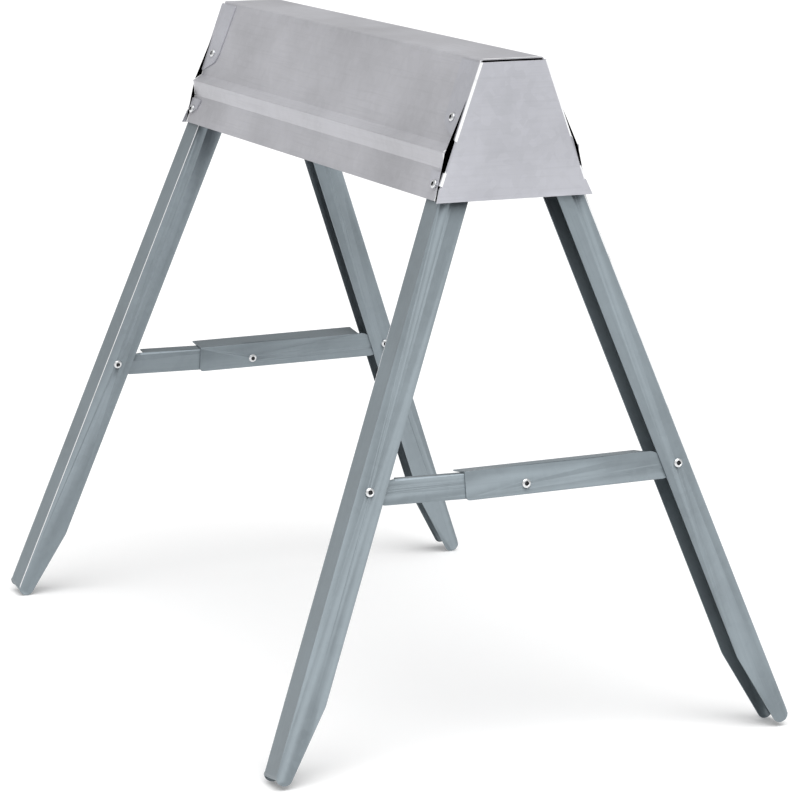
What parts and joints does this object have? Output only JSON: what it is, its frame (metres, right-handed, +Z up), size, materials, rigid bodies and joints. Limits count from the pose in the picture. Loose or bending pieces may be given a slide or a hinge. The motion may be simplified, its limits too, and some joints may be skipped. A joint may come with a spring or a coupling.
{
  "type": "folding sawhorse",
  "caption": "Folding sheet-steel sawhorse: trapezoid beam cover with end caps on four splayed channel legs, each pair held apart by a two-link folding brace",
  "frame": {"origin": "on the floor under the middle of the beam", "axes": "+X along the beam to the right end, +Y to the rear legs, +Z up"},
  "size_m": [0.912, 0.602, 0.737],
  "materials": {
    "galvanised_cover": "galvanised sheet, satin",
    "galvanised_cap": "galvanised sheet, satin",
    "hanger_steel": "galvanised strip, dull",
    "leg_steel": "galvanised strip, dull blue grey",
    "link_steel": "galvanised strip, dull blue grey",
    "bright_rivet": "bright zinc"
  },
  "bodies": {
    "root": {"beam_cover": "galvanised_cover", "left_end_cap": "galvanised_cap", "left_front_lower_wall_rivet": "bright_rivet", "left_front_pivot_rivet": "bright_rivet", "left_front_upper_wall_rivet": "bright_rivet", "left_hanger": "hanger_steel", "left_rear_lower_wall_rivet": "bright_rivet", "left_rear_pivot_rivet": "bright_rivet", "left_rear_upper_wall_rivet": "bright_rivet", "right_end_cap": "galvanised_cap", "right_front_lower_wall_rivet": "bright_rivet", "right_front_pivot_rivet": "bright_rivet", "right_front_upper_wall_rivet": "bright_rivet", "right_hanger": "hanger_steel", "right_rear_lower_wall_rivet": "bright_rivet", "right_rear_pivot_rivet": "bright_rivet", "right_rear_upper_wall_rivet": "bright_rivet"},
    "left_front_leg": {"left_front_leg": "leg_steel", "left_front_link_rivet": "bright_rivet", "left_link_spacer": "bright_rivet"},
    "left_front_link": {"left_front_link": "link_steel", "left_brace_centre_tail": "bright_rivet"},
    "left_rear_leg": {"left_rear_leg": "leg_steel", "left_rear_link_rivet": "bright_rivet"},
    "left_rear_link": {"left_rear_link": "link_steel", "left_brace_centre_rivet": "bright_rivet"},
    "right_front_leg": {"right_front_leg": "leg_steel", "right_front_link_rivet": "bright_rivet", "right_link_spacer": "bright_rivet"},
    "right_front_link": {"right_front_link": "link_steel", "right_brace_centre_tail": "bright_rivet"},
    "right_rear_leg": {"right_rear_leg": "leg_steel", "right_rear_link_rivet": "bright_rivet"},
    "right_rear_link": {"right_rear_link": "link_steel", "right_brace_centre_rivet": "bright_rivet"}
  },
  "joints": [
    {"name": "left_front_leg_fold", "type": "hinge", "parent": "root", "child": "left_front_leg", "pos_m": [-0.3546, -0.05187, 0.637], "axis": [0.9914, 0, -0.1305], "range_deg": [0, 23.52]},
    {"name": "left_front_link_fold", "type": "hinge", "parent": "left_front_leg", "child": "left_front_link", "pos_m": [-0.39963, -0.18016, 0.295], "axis": [0.9914, 0, -0.1305], "range_deg": [0, 58.8]},
    {"name": "left_rear_leg_fold", "type": "hinge", "parent": "root", "child": "left_rear_leg", "pos_m": [-0.3546, 0.05187, 0.637], "axis": [-0.9914, 0, 0.1305], "range_deg": [0, 23.52]},
    {"name": "left_rear_link_fold", "type": "hinge", "parent": "left_rear_leg", "child": "left_rear_link", "pos_m": [-0.39963, 0.18016, 0.295], "axis": [-0.9914, 0, 0.1305], "range_deg": [0, 58.8]},
    {"name": "right_front_leg_fold", "type": "hinge", "parent": "root", "child": "right_front_leg", "pos_m": [0.3546, -0.05187, 0.637], "axis": [0.9914, 0, 0.1305], "range_deg": [0, 23.52]},
    {"name": "right_front_link_fold", "type": "hinge", "parent": "right_front_leg", "child": "right_front_link", "pos_m": [0.39963, -0.18016, 0.295], "axis": [0.9914, 0, 0.1305], "range_deg": [0, 58.8]},
    {"name": "right_rear_leg_fold", "type": "hinge", "parent": "root", "child": "right_rear_leg", "pos_m": [0.3546, 0.05187, 0.637], "axis": [-0.9914, 0, -0.1305], "range_deg": [0, 23.52]},
    {"name": "right_rear_link_fold", "type": "hinge", "parent": "right_rear_leg", "child": "right_rear_link", "pos_m": [0.39963, 0.18016, 0.295], "axis": [-0.9914, 0, -0.1305], "range_deg": [0, 58.8]}
  ],
  "couplings": [
    {"joint": "left_rear_leg_fold", "follows": "left_front_leg_fold", "ratio": 1},
    {"joint": "left_front_link_fold", "follows": "left_front_leg_fold", "ratio": 2.4803},
    {"joint": "left_rear_link_fold", "follows": "left_front_leg_fold", "ratio": 2.4803},
    {"joint": "right_rear_leg_fold", "follows": "right_front_leg_fold", "ratio": 1},
    {"joint": "right_front_link_fold", "follows": "right_front_leg_fold", "ratio": 2.4803},
    {"joint": "right_rear_link_fold", "follows": "right_front_leg_fold", "ratio": 2.4803}
  ]
}
